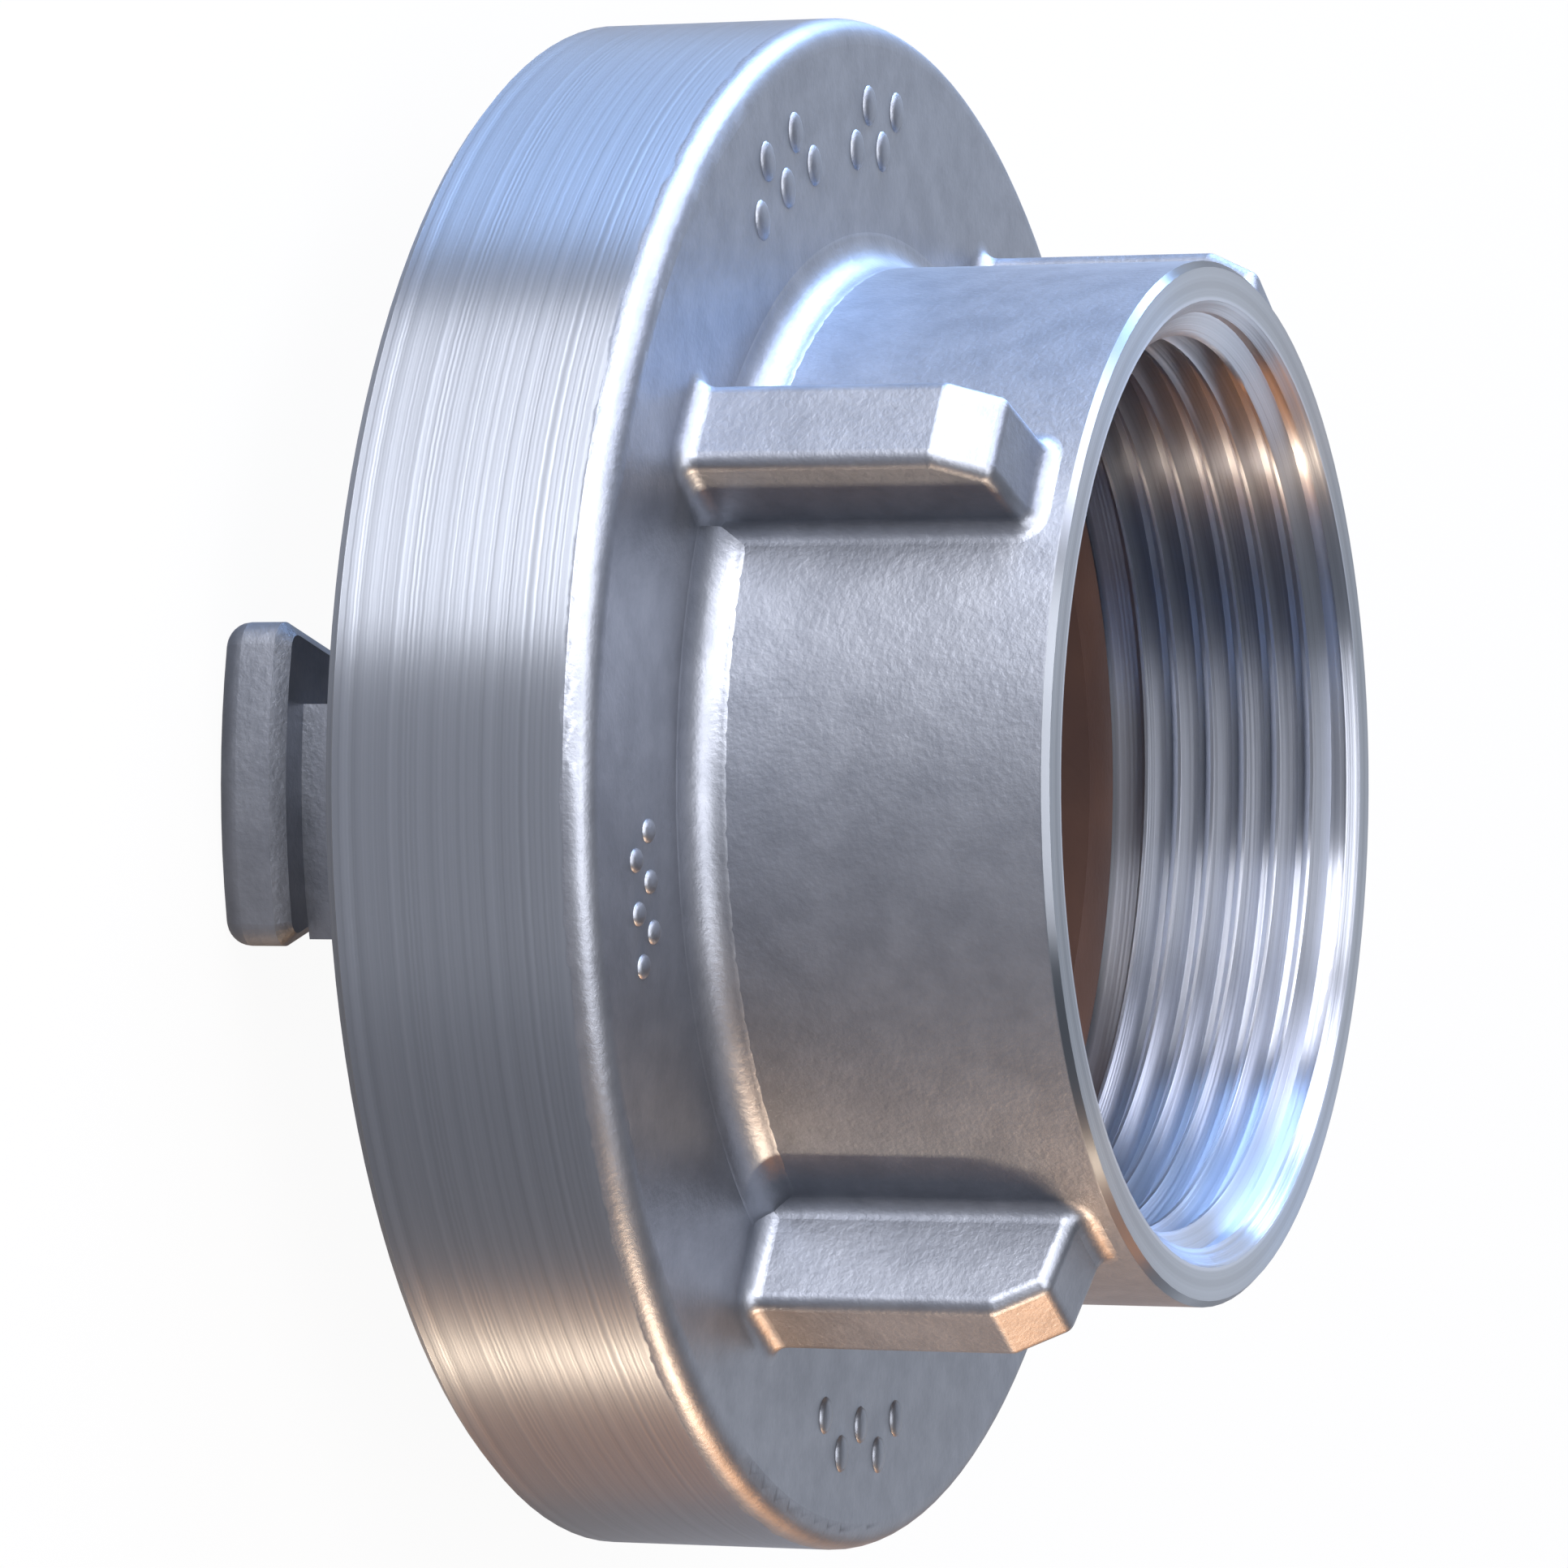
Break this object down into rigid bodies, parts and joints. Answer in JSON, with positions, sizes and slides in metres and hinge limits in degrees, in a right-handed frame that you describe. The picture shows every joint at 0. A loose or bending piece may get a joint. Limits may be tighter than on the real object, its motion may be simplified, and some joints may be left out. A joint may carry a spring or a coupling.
{
  "type": "quarter turn fire hose coupling",
  "caption": "Round aluminium hose coupling half with two hooks that turn into slots, a rubber face seal and a threaded neck with spanner lugs.",
  "frame": {"origin": "on the axis, at the level of the two hook tips on which the part stands", "axes": "+Z along the axis towards the thread end; the two hooks lie at -Y and +Y, and the head of the hook at -Y overhangs towards -X"},
  "size_m": [0.098, 0.098, 0.0506],
  "materials": {
    "forged_aluminium": "turned on the ring, seats and thread, as forged on the back face, neck and lugs",
    "black_rubber": "moulded, matt",
    "brown_rubber": "moulded, matt"
  },
  "bodies": {
    "root": {"coupling_body": "forged_aluminium", "face_seal": "black_rubber", "thread_gasket": "brown_rubber"}
  },
  "joints": []
}
